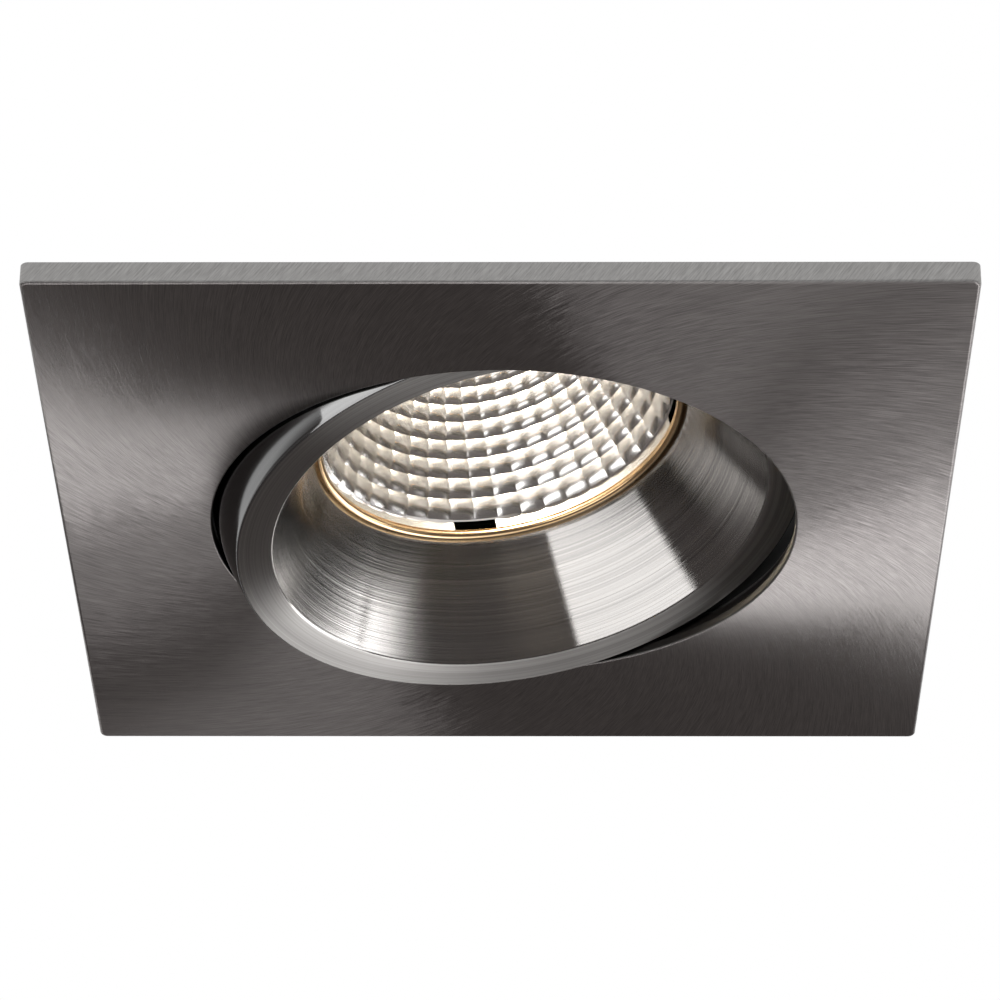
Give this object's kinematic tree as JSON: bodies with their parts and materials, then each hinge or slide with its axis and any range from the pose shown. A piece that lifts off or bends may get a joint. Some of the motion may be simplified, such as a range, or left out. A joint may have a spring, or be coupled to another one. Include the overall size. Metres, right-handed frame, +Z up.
{
  "type": "recessed gimbal light",
  "caption": "Square brushed-nickel recessed light whose ball-shaped head, with a deep cone and mirrored faceted reflector, swivels and tilts in a round hole; spring clips hold it in a ceiling.",
  "frame": {"origin": "centre of the face plate's back, in the plane of the ceiling that it lies against", "axes": "+Z up into the ceiling, +X and +Y along the sides of the square plate; the light shines towards -Z"},
  "size_m": [0.1162, 0.088, 0.0579],
  "materials": {
    "brushed_nickel": "die cast, nickel plated and brushed",
    "polished_nickel": "die cast, nickel plated, turned and polished",
    "black_plastic": "moulded, glass filled",
    "slip_plastic": "natural low-friction plastic",
    "mirror_facets": "vacuum metallised",
    "phosphor": "silicone with phosphor",
    "white_board": "white solder mask on aluminium",
    "pad": "soft thermal silicone",
    "white_plastic": "moulded",
    "sink_metal": "extruded, machined, clear anodised",
    "steel": "zinc plated",
    "spring_steel": "drawn spring wire",
    "black_rubber": "moulded"
  },
  "bodies": {
    "housing": {"face_plate": "brushed_nickel", "clip_collar": "black_plastic", "collar_screws": "steel", "lower_slip_washer": "slip_plastic", "upper_slip_washer": "slip_plastic", "clip_pin_right": "steel", "clip_pin_left": "steel"},
    "swivel": {"swivel_ring": "black_plastic", "tilt_washers": "slip_plastic"},
    "head": {"gimbal_bezel": "polished_nickel", "tilt_pins": "steel", "reflector": "mirror_facets", "reflector_snap_ring": "spring_steel", "led_emitter": "phosphor", "led_board": "white_board", "thermal_pad": "pad", "led_holder": "white_plastic", "holder_screws": "steel", "heat_sink": "sink_metal", "heat_sink_screws": "steel", "cable_grommet": "black_rubber"},
    "right_clip": {"clip_spring_right": "spring_steel", "clip_sleeve_right": "black_rubber"},
    "left_clip": {"clip_spring_left": "spring_steel", "clip_sleeve_left": "black_rubber"}
  },
  "joints": [
    {"name": "swivel_turn", "type": "hinge", "parent": "housing", "child": "swivel", "pos_m": [0, 0, 0.00775], "axis": [0, 0, 1], "range_deg": [-152.7, 195.3]},
    {"name": "head_tilt", "type": "hinge", "parent": "swivel", "child": "head", "pos_m": [0, 0, 0.00775], "axis": [0.3633, 0.9317, 0], "range_deg": [-8.5, 31.5]},
    {"name": "right_clip_fold", "type": "hinge", "parent": "housing", "child": "right_clip", "pos_m": [0.034, 0, 0.018], "axis": [0, -1, 0], "range_deg": [0, 122], "stiffness_Nm_per_rad": 0.04, "springref_deg": -34.38},
    {"name": "left_clip_fold", "type": "hinge", "parent": "housing", "child": "left_clip", "pos_m": [-0.034, 0, 0.018], "axis": [0, 1, 0], "range_deg": [0, 122], "stiffness_Nm_per_rad": 0.04, "springref_deg": -34.38}
  ]
}
